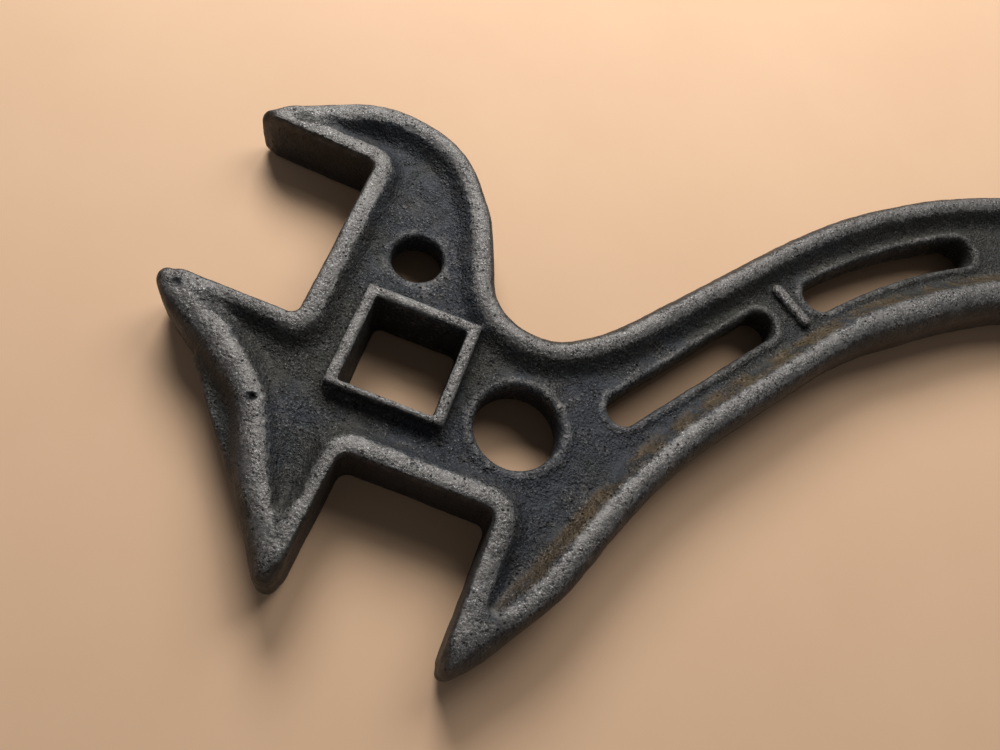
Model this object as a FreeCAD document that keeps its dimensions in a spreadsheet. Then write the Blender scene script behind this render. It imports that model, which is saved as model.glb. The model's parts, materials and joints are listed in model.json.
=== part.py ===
import FreeCAD, Part
import math
import os

import Sketcher

# Cast-iron hydrant wrench: one flat casting with two open jaws at the head,
# a square socket, two round holes, a curved handle and a recessed web.
# World frame: origin at the centre of the square socket on the resting plane,
# +X along the socket side towards the handle, +Z up through the thickness.

doc = FreeCAD.newDocument("hydrant_wrench")

# ---------------------------------------------------------------- sizes, mm
sizes = doc.addObject("Spreadsheet::Sheet", "Sizes")
SIZES = [
    ("thickness", 13.0),
    ("web_bottom", 3.5),
    ("web_top", 9.5),
    ("rim_round", 1.5),
    ("crest_round", 1.4),
    ("web_round", 2.0),
    ("collar_width", 22.4),
    ("collar_depth", 21.4),
    ("collar_shift", 0.4),
    ("collar_bottom", 0.4),
    ("collar_top", 12.6),
    ("socket_top", 18.1),
    ("socket_taper", -2.8),
    ("large_hole_radius", 7.9),
    ("large_lip_radius", 9.0),
    ("large_lip_rise", 0.5),
    ("small_hole_radius", 5.0),
    ("hanging_hole_radius", 5.0),
    ("lower_slot_radius", 3.0),
    ("upper_slot_radius", 3.4),
    ("hole_edge_round", 0.6),
    ("collar_edge_round", 0.4),
    ("bar_half_width", 0.7),
    ("bar_top", 10.8),
    ("gate_bottom", 3.2),
    ("gate_top", 8.4),
]
for row, (alias, value) in enumerate(SIZES, start=1):
    sizes.set(f"A{row}", alias)
    sizes.set(f"B{row}", str(value))
    sizes.setAlias(f"B{row}", alias)
doc.recompute()
size = dict(SIZES)

# ------------------------------------------------------------- plan outline
# Both long edges of the curved handle are arcs about one centre.
HANDLE_CENTRE = FreeCAD.Vector(171.5, -34.0, 0)
HANDLE_OUTER_RADIUS = 140.5
HANDLE_INNER_RADIUS = 111.4
HANDLE_END_ANGLE = 96.0
HANDLE_END_ROUND = 13.0


def on_handle(radius, degrees, forward=0.0):
    """Point at a polar angle about the handle centre, moved along the handle."""
    angle = math.radians(degrees)
    out = FreeCAD.Vector(math.cos(angle), math.sin(angle), 0)
    along = FreeCAD.Vector(math.sin(angle), -math.cos(angle), 0)
    return HANDLE_CENTRE + out * radius + along * forward


def arc_corner(radius, start, end):
    """Corner whose rounding is the handle arc between two polar angles."""
    half = math.radians(abs(start - end) / 2)
    point = on_handle(radius / math.cos(half), (start + end) / 2)
    return point.x, point.y


OUTER_END = on_handle(HANDLE_OUTER_RADIUS, HANDLE_END_ANGLE, 14.0)
INNER_END = on_handle(HANDLE_INNER_RADIUS, HANDLE_END_ANGLE, 14.0)
RIM = 4.2
HOOK_RIM = 5.3
CROWN_RIM = 3.5
HANDLE_RIM = 6.8
NECK_RIM = 4.9
PRONG_RIM = 3.8
JAW_RIM = 3.6
BACK_RIM = 5.6
TIGHTEST_RECESS = 2.4

# Corner points of the outline, clockwise from the hook tip.  Each holds a name,
# x, y, the radius that rounds it and the rim width along the edge that follows.
OUTLINE = [
    ("hook_tip", -50.3, 38.0, 1.6, HOOK_RIM),
    ("hook_shoulder", -37.0, 44.5, 30.0, HOOK_RIM),
    ("hook_top", -24.3, 53.0, 22.0, RIM),
    ("hook_crown", -5.0, 49.3, 21.0, CROWN_RIM),
    ("hook_back", 5.2, 34.7, 24.0, RIM),
    ("valley_left", 13.2, 14.1, 11.2, RIM),
    ("valley_right", 25.2, 14.1, 12.6, RIM),
    ("neck_top", 34.0, 20.3, 45.0, RIM),
    ("handle_top", *arc_corner(HANDLE_OUTER_RADIUS, 141.5, HANDLE_END_ANGLE), HANDLE_OUTER_RADIUS, RIM),
    ("end_top", OUTER_END.x, OUTER_END.y, HANDLE_END_ROUND, RIM),
    ("end_under", INNER_END.x, INNER_END.y, HANDLE_END_ROUND, HANDLE_RIM),
    ("handle_under", *arc_corner(HANDLE_INNER_RADIUS, 128.5, HANDLE_END_ANGLE),
     HANDLE_INNER_RADIUS, HANDLE_RIM),
    ("neck_bend", 82.5, 37.7, 76.0, NECK_RIM),
    ("neck_under", 51.8, -2.2, 130.0, NECK_RIM),
    ("prong_back", 40.9, -29.0, 30.0, PRONG_RIM),
    ("prong_shoulder", 30.9, -43.9, 20.0, PRONG_RIM),
    ("prong_tip", 23.9, -51.4, 1.9, JAW_RIM),
    ("lower_jaw_right", 24.7, -21.0, 1.8, JAW_RIM),
    ("lower_jaw_left", -3.1, -21.0, 2.2, JAW_RIM),
    ("lower_fin_tip", -4.5, -49.8, 2.4, BACK_RIM),
    ("back_low", -17.5, -32.0, 30.0, BACK_RIM),
    ("back_high", -24.0, -19.0, 18.0, BACK_RIM),
    ("fin_shoulder", -43.0, -6.3, 16.0, BACK_RIM),
    ("upper_fin_tip", -48.8, 0.3, 2.3, JAW_RIM),
    ("upper_jaw_low", -20.4, -0.2, 1.8, JAW_RIM),
    ("upper_jaw_high", -20.4, 36.6, 1.8, JAW_RIM),
]
# The recess runs out before it reaches these, so the tips stay solid.
SOLID_SHOULDERS = ("hook_shoulder", "prong_shoulder", "fin_shoulder")


# ---------------------------------------------------------- drawing helpers
def vector(x, y):
    return FreeCAD.Vector(x, y, 0)


def corner_arc(before, corner, after, radius):
    """Start, middle and end of the arc that rounds a corner."""
    back = (before - corner).normalize()
    ahead = (after - corner).normalize()
    half = back.getAngle(ahead) / 2
    reach = radius / math.tan(half)
    bisector = (back + ahead).normalize()
    centre = corner + bisector * (radius / math.sin(half))
    return corner + back * reach, centre - bisector * radius, corner + ahead * reach


def line_crossing(point, direction, other_point, other_direction):
    cross = direction.x * other_direction.y - direction.y * other_direction.x
    gap = other_point - point
    run = (gap.x * other_direction.y - gap.y * other_direction.x) / cross
    return point + direction * run


def inset_corners(corners):
    """Corners of the recess: each edge moved inwards by its own rim width."""
    count = len(corners)
    points = [vector(c[1], c[2]) for c in corners]
    lines = []
    for i in range(count):
        direction = (points[(i + 1) % count] - points[i]).normalize()
        inward = FreeCAD.Vector(direction.y, -direction.x, 0)
        lines.append((points[i] + inward * corners[i][4], direction))
    result = []
    for i in range(count):
        point = line_crossing(*lines[i - 1], *lines[i])
        before = lines[i - 1][1]
        after = lines[i][1]
        turns_right = before.x * after.y - before.y * after.x < 0
        rim = (corners[i - 1][4] + corners[i][4]) / 2
        radius = max(corners[i][3] - rim, TIGHTEST_RECESS) if turns_right else corners[i][3] + rim
        result.append((corners[i][0], point.x, point.y, radius))
    return result


def draw_rounded(sketch, corners):
    """Closed profile of straight lines joined by tangent arcs."""
    count = len(corners)
    points = [vector(c[1], c[2]) for c in corners]
    arcs = []
    for i in range(count):
        arcs.append(corner_arc(points[i - 1], points[i], points[(i + 1) % count], corners[i][3]))
    chain = []
    for i in range(count):
        start, middle, end = arcs[i]
        chain.append(sketch.addGeometry(Part.Arc(start, middle, end), False))
        following = arcs[(i + 1) % count][0]
        if (following - end).Length > 0.01:
            chain.append(sketch.addGeometry(Part.LineSegment(end, following), False))
    for index in chain:
        sketch.addConstraint(Sketcher.Constraint("Block", index))


def base_plane(body, role="XY_Plane"):
    return [f for f in body.Origin.OriginFeatures if f.Role == role][0]


def new_sketch(body, name, height=None):
    """Sketch on the body's base plane, lifted to a height of the sheet."""
    sketch = body.newObject("Sketcher::SketchObject", name)
    sketch.AttachmentSupport = [(base_plane(body), "")]
    sketch.MapMode = "FlatFace"
    if height:
        sketch.setExpression("AttachmentOffset.Base.z", height)
    return sketch


def draw_circle(sketch, x, y, radius):
    """Circle fixed at x, y whose radius follows the sheet."""
    circle = Part.Circle(vector(x, y), FreeCAD.Vector(0, 0, 1), size[radius.split(".")[1]])
    index = sketch.addGeometry(circle, False)
    sketch.addConstraint(Sketcher.Constraint("DistanceX", -1, 1, index, 3, x))
    sketch.addConstraint(Sketcher.Constraint("DistanceY", -1, 1, index, 3, y))
    bound = sketch.addConstraint(Sketcher.Constraint("Radius", index, circle.Radius))
    sketch.setExpression(f"Constraints[{bound}]", radius)


def finish_feature(body, feature, grows):
    """Recompute and make sure the feature changed the volume the right way."""
    previous = body.Tip.BaseFeature.Shape.Volume if body.Tip.BaseFeature else 0.0
    doc.recompute()
    volume = feature.Shape.Volume
    if grows is not None and (volume > previous) != grows:
        raise RuntimeError(f"{feature.Name} did not change the solid as meant")
    return feature


def add_pad(body, name, sketch, length):
    pad = body.newObject("PartDesign::Pad", name)
    pad.Profile = sketch
    pad.setExpression("Length", length)
    sketch.Visibility = False
    return finish_feature(body, pad, True)


def add_pocket(body, name, sketch, length, upwards=False, taper=None):
    pocket = body.newObject("PartDesign::Pocket", name)
    pocket.Profile = sketch
    pocket.setExpression("Length", length)
    pocket.Reversed = upwards
    if taper:
        pocket.setExpression("TaperAngle", taper)
    sketch.Visibility = False
    return finish_feature(body, pocket, False)


def edges_where(shape, test):
    return [f"Edge{i}" for i, edge in enumerate(shape.Edges, start=1) if test(edge)]


def lies_at(edge, height):
    box = edge.BoundBox
    return abs(box.ZMin - height) < 1e-4 and abs(box.ZMax - height) < 1e-4


def add_fillet(body, name, base, edges, radius):
    fillet = body.newObject("PartDesign::Fillet", name)
    fillet.Base = (base, edges)
    fillet.setExpression("Radius", radius)
    return finish_feature(body, fillet, None)


# -------------------------------------------- round holes, slots and fittings
LARGE_HOLE = vector(23.6, -4.2)
SMALL_HOLE = vector(-5.4, 21.4)
HANGING_HOLE = on_handle((HANDLE_OUTER_RADIUS + HANDLE_INNER_RADIUS) / 2, HANDLE_END_ANGLE)
# The lower slot is straight; the upper one follows the handle's curve.
LOWER_SLOT = (vector(41.2, 6.9), vector(63.1, 35.8))
UPPER_SLOT_RADIUS = 127.6
UPPER_SLOT_ANGLES = (139.8, 122.0)
# Plain raised bar across the web between the two slots.
BAR = (vector(64.9, 45.3), vector(71.7, 40.5))
# Rough remains of the pouring gate, left standing in the hollow of the back edge.
GATE = [
    ("upper_root", -35.5, -11.0, 1.5),
    ("crown", -26.9, -21.8, 9.0),
    ("lower_root", -15.6, -33.8, 1.5),
    ("lower_inside", -12.0, -31.0, 1.0),
    ("middle_inside", -18.0, -18.0, 4.0),
    ("upper_inside", -33.0, -8.0, 1.0),
]


def draw_slot(sketch, ends, radius):
    """Straight slot between two end centres, its width bound to the sheet."""
    half = size[radius.split(".")[1]]
    along = (ends[1] - ends[0]).normalize()
    side = FreeCAD.Vector(-along.y, along.x, 0) * half
    nose = along * half
    far = Part.Arc(ends[1] + side, ends[1] + nose, ends[1] - side)
    near = Part.Arc(ends[0] - side, ends[0] - nose, ends[0] + side)
    upper = Part.LineSegment(ends[0] + side, ends[1] + side)
    lower = Part.LineSegment(ends[1] - side, ends[0] - side)
    first = sketch.addGeometry([far, near, upper, lower], False)[0]
    bind_slot_ends(sketch, first, ends, radius)
    for side_line in (first + 2, first + 3):
        for end_arc in (first, first + 1):
            point = 1 if (side_line == first + 2) == (end_arc == first + 1) else 2
            arc_point = nearest_end(sketch, end_arc, side_line, point)
            sketch.addConstraint(Sketcher.Constraint("Tangent", side_line, point, end_arc, arc_point))


def nearest_end(sketch, arc, line, point):
    """Which end of an arc meets the given end of a line: 1 start, 2 finish."""
    target = sketch.getPoint(line, point)
    return 1 if (sketch.getPoint(arc, 1) - target).Length < 1e-4 else 2


def bind_slot_ends(sketch, first, ends, radius):
    """Fix the two end centres and bind their radii to the sheet."""
    for index, centre in ((first, ends[1]), (first + 1, ends[0])):
        sketch.addConstraint(Sketcher.Constraint("DistanceX", -1, 1, index, 3, centre.x))
        sketch.addConstraint(Sketcher.Constraint("DistanceY", -1, 1, index, 3, centre.y))
    bound = sketch.addConstraint(Sketcher.Constraint("Radius", first, size[radius.split(".")[1]]))
    sketch.addConstraint(Sketcher.Constraint("Equal", first, first + 1))
    sketch.setExpression(f"Constraints[{bound}]", radius)


def draw_curved_slot(sketch, middle_radius, angles, radius):
    """Slot that follows an arc about the handle centre."""
    half = size[radius.split(".")[1]]
    start, end = angles
    middle = (start + end) / 2
    edges = []
    for reach in (middle_radius + half, middle_radius - half):
        edges.append(Part.Arc(on_handle(reach, start), on_handle(reach, middle), on_handle(reach, end)))
    for angle, forward in ((start, -half), (end, half)):
        outside = on_handle(middle_radius + half, angle)
        nose = on_handle(middle_radius, angle, forward)
        inside = on_handle(middle_radius - half, angle)
        edges.append(Part.Arc(outside, nose, inside))
    for edge in edges:
        index = sketch.addGeometry(edge, False)
        sketch.addConstraint(Sketcher.Constraint("Block", index))


def draw_rectangle(sketch, width, depth, shift=None):
    """Rectangle about the sketch origin, sized and shifted by sheet cells."""
    half_w = size[width.split(".")[1]] / 2
    half_d = size[depth.split(".")[1]] / 2
    lift = size[shift.split(".")[1]] if shift else 0.0
    corners = [(-half_w, -half_d), (half_w, -half_d), (half_w, half_d), (-half_w, half_d)]
    points = [vector(x, y + lift) for x, y in corners]
    lines = [Part.LineSegment(points[i], points[(i + 1) % 4]) for i in range(4)]
    first = sketch.addGeometry(lines, False)[0]
    for i in range(4):
        sketch.addConstraint(Sketcher.Constraint("Coincident", first + i, 2, first + (i + 1) % 4, 1))
    for i in (0, 2):
        sketch.addConstraint(Sketcher.Constraint("Horizontal", first + i))
        sketch.addConstraint(Sketcher.Constraint("Vertical", first + i + 1))
    across = sketch.addConstraint(Sketcher.Constraint("DistanceX", first, 1, first, 2, 2 * half_w))
    sketch.setExpression(f"Constraints[{across}]", width)
    tall = sketch.addConstraint(Sketcher.Constraint("DistanceY", first + 1, 1, first + 1, 2, 2 * half_d))
    sketch.setExpression(f"Constraints[{tall}]", depth)
    left = sketch.addConstraint(Sketcher.Constraint("DistanceX", first, 1, -1, 1, half_w))
    sketch.setExpression(f"Constraints[{left}]", f"{width} / 2")
    low = sketch.addConstraint(Sketcher.Constraint("DistanceY", first, 1, -1, 1, half_d - lift))
    sketch.setExpression(f"Constraints[{low}]", f"{depth} / 2 - {shift}" if shift else f"{depth} / 2")


# ------------------------------------------------------------- the casting
body = doc.addObject("PartDesign::Body", "wrench_casting")
body.Label = "wrench_casting"

outline_sketch = new_sketch(body, "outline_sketch")
draw_rounded(outline_sketch, OUTLINE)
blank = add_pad(body, "blank", outline_sketch, "Sizes.thickness")

rim_edges = edges_where(blank.Shape, lambda e: lies_at(e, 0.0) or lies_at(e, size["thickness"]))
rims = add_fillet(body, "rim_rounding", blank, rim_edges, "Sizes.rim_round")

gate_sketch = new_sketch(body, "gate_sketch", "Sizes.gate_bottom")
draw_rounded(gate_sketch, GATE)
gate = add_pad(body, "gate_remains", gate_sketch, "Sizes.gate_top - Sizes.gate_bottom")

RECESS = inset_corners([c for c in OUTLINE if c[0] not in SOLID_SHOULDERS])
top_sketch = new_sketch(body, "top_recess_sketch", "Sizes.thickness")
draw_rounded(top_sketch, RECESS)
top_recess = add_pocket(body, "top_recess", top_sketch, "Sizes.thickness - Sizes.web_top")
under_sketch = new_sketch(body, "under_recess_sketch")
draw_rounded(under_sketch, RECESS)
under_recess = add_pocket(body, "under_recess", under_sketch, "Sizes.web_bottom", upwards=True)


def is_web_edge(edge):
    """Where a recess wall meets the web."""
    return lies_at(edge, size["web_top"]) or lies_at(edge, size["web_bottom"])


def is_crest_edge(edge):
    """Inner edge of a rim, on the outline of the recess."""
    if not (lies_at(edge, 0.0) or lies_at(edge, size["thickness"])):
        return False
    middle = edge.valueAt((edge.FirstParameter + edge.LastParameter) / 2)
    return under_sketch.Shape.distToShape(Part.Vertex(middle.x, middle.y, 0))[0] < 0.01


web_edges = edges_where(under_recess.Shape, is_web_edge)
web = add_fillet(body, "web_rounding", under_recess, web_edges, "Sizes.web_round")
crest_edges = edges_where(web.Shape, is_crest_edge)
add_fillet(body, "crest_rounding", web, crest_edges, "Sizes.crest_round")

# Square collar through the web and the tapered socket inside it.
collar_sketch = new_sketch(body, "collar_sketch", "Sizes.collar_bottom")
draw_rectangle(collar_sketch, "Sizes.collar_width", "Sizes.collar_depth", "Sizes.collar_shift")
collar = add_pad(body, "collar", collar_sketch, "Sizes.collar_top - Sizes.collar_bottom")

lip_sketch = new_sketch(body, "large_lip_sketch", "Sizes.web_bottom - Sizes.large_lip_rise")
draw_circle(lip_sketch, LARGE_HOLE.x, LARGE_HOLE.y, "Sizes.large_lip_radius")
lip = add_pad(body, "large_lip", lip_sketch, "Sizes.web_top - Sizes.web_bottom + 2 * Sizes.large_lip_rise")

socket_sketch = new_sketch(body, "socket_sketch", "Sizes.thickness")
draw_rectangle(socket_sketch, "Sizes.socket_top", "Sizes.socket_top")
socket = add_pocket(body, "square_socket", socket_sketch, "Sizes.thickness", taper="Sizes.socket_taper")

holes_sketch = new_sketch(body, "round_holes_sketch", "Sizes.thickness")
draw_circle(holes_sketch, LARGE_HOLE.x, LARGE_HOLE.y, "Sizes.large_hole_radius")
draw_circle(holes_sketch, SMALL_HOLE.x, SMALL_HOLE.y, "Sizes.small_hole_radius")
draw_circle(holes_sketch, HANGING_HOLE.x, HANGING_HOLE.y, "Sizes.hanging_hole_radius")
holes = add_pocket(body, "round_holes", holes_sketch, "Sizes.thickness")

slots_sketch = new_sketch(body, "handle_slots_sketch", "Sizes.thickness")
draw_slot(slots_sketch, LOWER_SLOT, "Sizes.lower_slot_radius")
draw_curved_slot(slots_sketch, UPPER_SLOT_RADIUS, UPPER_SLOT_ANGLES, "Sizes.upper_slot_radius")
slots = add_pocket(body, "handle_slots", slots_sketch, "Sizes.thickness")

bar_sketch = new_sketch(body, "bar_sketch", "Sizes.web_top - 1")
draw_slot(bar_sketch, BAR, "Sizes.bar_half_width")
bar = add_pad(body, "cross_bar", bar_sketch, "Sizes.bar_top - Sizes.web_top + 1")


def is_opening_edge(edge):
    """Sharp edge round a hole or slot, on the web or on the large hole's lip."""
    rise = size["large_lip_rise"]
    heights = [size["web_bottom"], size["web_top"], size["web_bottom"] - rise, size["web_top"] + rise]
    if not any(lies_at(edge, height) for height in heights):
        return False
    middle = edge.valueAt((edge.FirstParameter + edge.LastParameter) / 2)
    spot = Part.Vertex(middle.x, middle.y, size["thickness"])
    return min(s.Shape.distToShape(spot)[0] for s in (holes_sketch, slots_sketch)) < 0.01


def is_collar_edge(edge):
    """Outer edges of the collar, its ends and its four uprights."""
    middle = edge.valueAt((edge.FirstParameter + edge.LastParameter) / 2)
    on_side = abs(abs(middle.x) - size["collar_width"] / 2) < 0.01
    on_depth = abs(abs(middle.y - size["collar_shift"]) - size["collar_depth"] / 2) < 0.01
    at_end = lies_at(edge, size["collar_top"]) or lies_at(edge, size["collar_bottom"])
    return at_end and (on_side or on_depth)


opening_edges = edges_where(bar.Shape, is_opening_edge)
openings = add_fillet(body, "opening_rounding", bar, opening_edges, "Sizes.hole_edge_round")
collar_edges = edges_where(openings.Shape, is_collar_edge)
add_fillet(body, "collar_rounding", openings, collar_edges, "Sizes.collar_edge_round")

os.makedirs("parts", exist_ok=True)
for item in doc.Objects:
    if "Invalid" in item.State or "Error" in item.State:
        raise RuntimeError(f"{item.Name} did not recompute")
shape = body.Shape
if shape.isNull() or not shape.isValid() or len(shape.Solids) != 1:
    raise RuntimeError("the casting is not one valid solid")
shape.exportStep("parts/wrench_casting.step")
print("volume of the casting in cubic mm:", round(shape.Volume))
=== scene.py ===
import json
import math

import bmesh
import bpy
import numpy as np
from mathutils import Matrix, Vector


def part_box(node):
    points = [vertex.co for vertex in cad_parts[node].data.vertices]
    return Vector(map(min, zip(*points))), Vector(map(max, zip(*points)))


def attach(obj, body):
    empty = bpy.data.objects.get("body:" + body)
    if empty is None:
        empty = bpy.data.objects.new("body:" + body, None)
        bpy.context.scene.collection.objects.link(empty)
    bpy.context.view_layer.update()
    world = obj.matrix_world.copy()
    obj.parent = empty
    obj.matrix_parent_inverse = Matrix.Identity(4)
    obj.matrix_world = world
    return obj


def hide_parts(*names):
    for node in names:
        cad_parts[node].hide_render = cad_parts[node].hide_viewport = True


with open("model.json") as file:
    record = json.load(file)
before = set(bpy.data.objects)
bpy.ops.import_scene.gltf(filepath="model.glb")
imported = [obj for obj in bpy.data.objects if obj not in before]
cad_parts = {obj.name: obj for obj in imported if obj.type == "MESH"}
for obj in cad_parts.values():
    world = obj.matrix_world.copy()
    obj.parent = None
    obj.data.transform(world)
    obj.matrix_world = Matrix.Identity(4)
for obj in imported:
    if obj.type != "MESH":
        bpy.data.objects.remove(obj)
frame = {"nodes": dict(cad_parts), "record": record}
bpy.context.view_layer.update()

# Lengths inside this script are in millimetres; the finished mesh is in metres.
MM = 0.001
casting = frame["nodes"]["wrench_casting"]
low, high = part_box("wrench_casting")
THICKNESS = (high.z - low.z) / MM
MIDDLE = (high.z + low.z) / 2 / MM
HALF = THICKNESS / 2
PITCH = 0.42
TRIANGLES = 190000
SEED = 11

# Heights of the slices that show each group of outlines.
GATE_HEIGHT = MIDDLE - 0.7
RIM_SLICE = MIDDLE + 5.05
BAR_SLICE = MIDDLE + 3.7
WEB_SLICE = MIDDLE + 2.5
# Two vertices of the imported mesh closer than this, in metres, are one.
SAME_PLACE = 1e-7
# The socket's outline is centred on the origin to within this length.
SOCKET_CENTRING = 1.0
# Width plus depth of the large round hole.
LARGE_HOLE_SPAN = 31.6
# A slot's far points are this many times as far from its middle as its near ones, and more.
SLOT_RATIO, SLOT_EXCESS = 1.5, 1.0


# ------------------------------------------------------- outlines of the casting
def slice_loops(height):
    """Closed outlines, in mm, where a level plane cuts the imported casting."""
    mesh = bmesh.new()
    mesh.from_mesh(casting.data)
    bmesh.ops.remove_doubles(mesh, verts=mesh.verts, dist=SAME_PLACE)
    everything = mesh.verts[:] + mesh.edges[:] + mesh.faces[:]
    plane = Vector((0, 0, height * MM))
    cut = bmesh.ops.bisect_plane(mesh, geom=everything, plane_co=plane, plane_no=(0, 0, 1))
    neighbours = {}
    for edge in cut["geom_cut"]:
        if isinstance(edge, bmesh.types.BMEdge):
            first, second = edge.verts
            neighbours.setdefault(first, []).append(second)
            neighbours.setdefault(second, []).append(first)
    loops = []
    seen = set()
    for start in neighbours:
        if start in seen:
            continue
        loop = [start]
        seen.add(start)
        while True:
            onward = [v for v in neighbours[loop[-1]] if v not in seen]
            if not onward:
                break
            seen.add(onward[0])
            loop.append(onward[0])
        loops.append(np.array([(v.co.x / MM, v.co.y / MM) for v in loop]))
    mesh.free()
    return loops


def span(loop):
    """Width plus depth of an outline."""
    return float(np.ptp(loop[:, 0]) + np.ptp(loop[:, 1]))


def by_size(loops):
    """Outlines from the largest to the smallest."""
    return sorted(loops, key=span, reverse=True)


rim_loops = by_size(slice_loops(RIM_SLICE))
outline, recess, collar, socket = rim_loops[:4]
web_loops = by_size(slice_loops(WEB_SLICE))
openings = [loop for loop in web_loops[1:] if abs(loop.mean(0)).max() > SOCKET_CENTRING]
bar = min(slice_loops(BAR_SLICE), key=span)
gate = by_size(slice_loops(GATE_HEIGHT))[0]
large_hole = min(openings, key=lambda loop: abs(span(loop) - LARGE_HOLE_SPAN))


def is_slot(loop):
    """True for the two long handle slots, false for the round holes."""
    reach = np.hypot(*(loop - loop.mean(0)).T)
    return reach.max() > SLOT_RATIO * reach.min() + SLOT_EXCESS


# ------------------------------------------------------------- plan distances
# Open space kept round the casting, and the largest distance that is worked out.
MARGIN = 2.5
REACH = 14.0
start_xy = np.array([low.x, low.y]) / MM - MARGIN
stop_xy = np.array([high.x, high.y]) / MM + MARGIN
grid_x = np.arange(start_xy[0], stop_xy[0], PITCH)
grid_y = np.arange(start_xy[1], stop_xy[1], PITCH)
grid_z = np.arange(low.z / MM - MARGIN, high.z / MM + MARGIN, PITCH)
PLAN_X, PLAN_Y = np.meshgrid(grid_x, grid_y, indexing="ij")


def plan_distance(loop, closed=True):
    """Distance to an outline over the plan grid, negative inside it when it is closed."""
    distance = np.full(PLAN_X.shape, REACH)
    inside = np.zeros(PLAN_X.shape, bool)
    ends = np.roll(loop, -1, axis=0)
    for a, b in zip(loop if closed else loop[:-1], ends):
        lowest, highest = np.minimum(a, b), np.maximum(a, b)
        left, right = np.searchsorted(grid_x, [lowest[0] - REACH, highest[0] + REACH])
        near, far = np.searchsorted(grid_y, [lowest[1] - REACH, highest[1] + REACH])
        x = PLAN_X[left:right, near:far] - a[0]
        y = PLAN_Y[left:right, near:far] - a[1]
        run = b - a
        along = np.clip((x * run[0] + y * run[1]) / max(run @ run, 1e-9), 0, 1)
        gap = np.hypot(x - along * run[0], y - along * run[1])
        distance[left:right, near:far] = np.minimum(distance[left:right, near:far], gap)
        rows = (grid_y > lowest[1]) & (grid_y <= highest[1])
        if closed and rows.any():
            crossing = a[0] + (grid_y[rows] - a[1]) * run[0] / run[1]
            inside[:, rows] ^= grid_x[:, None] > crossing[None, :]
    return np.where(inside, -distance, distance)


def smooth_min(a, b, width):
    """The smaller of two distances, blended where they differ by less than a width."""
    blend = np.maximum(width - np.abs(a - b), 0) / width
    return np.minimum(a, b) - blend * blend * width / 4


def smooth_max(a, b, width):
    """The larger of two distances, blended where they differ by less than a width."""
    return -smooth_min(-a, -b, width)


def rounded_slab(plan, level, radius):
    """Level slab of a plan shape whose rim has the given radius."""
    out = plan + radius
    up = level + radius
    corner = np.hypot(np.maximum(out, 0), np.maximum(up, 0))
    return np.minimum(np.maximum(out, up), 0) + corner - radius


def smooth_step(value, start, end):
    """Nought up to the start, one from the end on, and smooth between them."""
    t = np.clip((value - start) / (end - start), 0, 1)
    return t * t * (3 - 2 * t)


outside = plan_distance(outline)
recess_wall = plan_distance(recess)
gate_wall = plan_distance(gate)
# One where the gate scar stands out from the side by the second length or more.
GATE_STANDS_OUT = (0.1, 0.8)
gate_share = smooth_step(outside - gate_wall, *GATE_STANDS_OUT)
collar_wall = plan_distance(collar)
bar_wall = plan_distance(bar)
opening_walls = [plan_distance(loop) for loop in openings]
slot_walls = np.minimum(*[wall for loop, wall in zip(openings, opening_walls)
                          if is_slot(loop)])
hole_centre = large_hole.mean(0)
hole_radius = np.ptp(large_hole[:, 0]) / 2
hole_plan = np.hypot(PLAN_X - hole_centre[0], PLAN_Y - hole_centre[1])
listed_openings = frame["record"]["physics"]["openings"]
opening_boxes = {entry["name"]: np.array(entry["box_m"]) / MM for entry in listed_openings}
upper_jaw = opening_boxes["upper_jaw"]
lower_jaw = opening_boxes["lower_jaw"]


# ------------------------------------------------------------- jaws and tips
def outermost(side, beyond):
    """Number of the outline point furthest out along a direction, past a limit line."""
    reach = np.where(beyond, outline @ np.array(side, float), -np.inf)
    return int(np.argmax(reach))


left_side = outline[:, 0] < upper_jaw[1, 0]
low_side = outline[:, 1] < lower_jaw[1, 1]
hook_tip = outermost((-1, 0), left_side & (outline[:, 1] > upper_jaw[1, 1]))
upper_fin = outermost((-1, 0), left_side & (outline[:, 1] < upper_jaw[0, 1]))
lower_fin = outermost((0, -1), low_side & (outline[:, 0] < lower_jaw[0, 0]))
prong_tip = outermost((0, -1), low_side & (outline[:, 0] > lower_jaw[1, 0]))


def between(first, last):
    """Outline points from one tip to the next, the short way round."""
    onward = np.arange(first, first + (last - first) % len(outline) + 1) % len(outline)
    backward = np.arange(last, last + (first - last) % len(outline) + 1) % len(outline)
    return min(onward, backward, key=lambda part: np.abs(np.diff(outline[part], axis=0)).sum())


# Along the outline from a tip, the jaw face is straight between these lengths.
FACE_START, FACE_END = 4.0, 9.0
# The line of the face is carried on this far, and the face keeps to it this closely.
FACE_REACH = 14.0
FACE_TOLERANCE = 0.03


def face_line(part):
    """A point well beyond the tip on the line of its jaw face, and where the face begins."""
    points = outline[part]
    length = np.concatenate([[0], np.cumsum(np.hypot(*np.diff(points, axis=0).T))])
    near, far = [np.array([np.interp(at, length, points[:, axis]) for axis in (0, 1)])
                 for at in (FACE_START, FACE_END)]
    direction = (far - near) / np.hypot(*(far - near))
    away = points - near
    off = np.abs(away[:, 0] * direction[1] - away[:, 1] * direction[0])
    return near - direction * FACE_REACH, int(np.argmax(off < FACE_TOLERANCE))


jaw_lines = []
faces = []
for part in (between(hook_tip, upper_fin), between(lower_fin, prong_tip)):
    start, first = face_line(part)
    end, last = face_line(part[::-1])
    face = part[first:len(part) - last]
    jaw_lines.append(np.vstack([start, outline[face], end]))
    faces.append(face)


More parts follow.
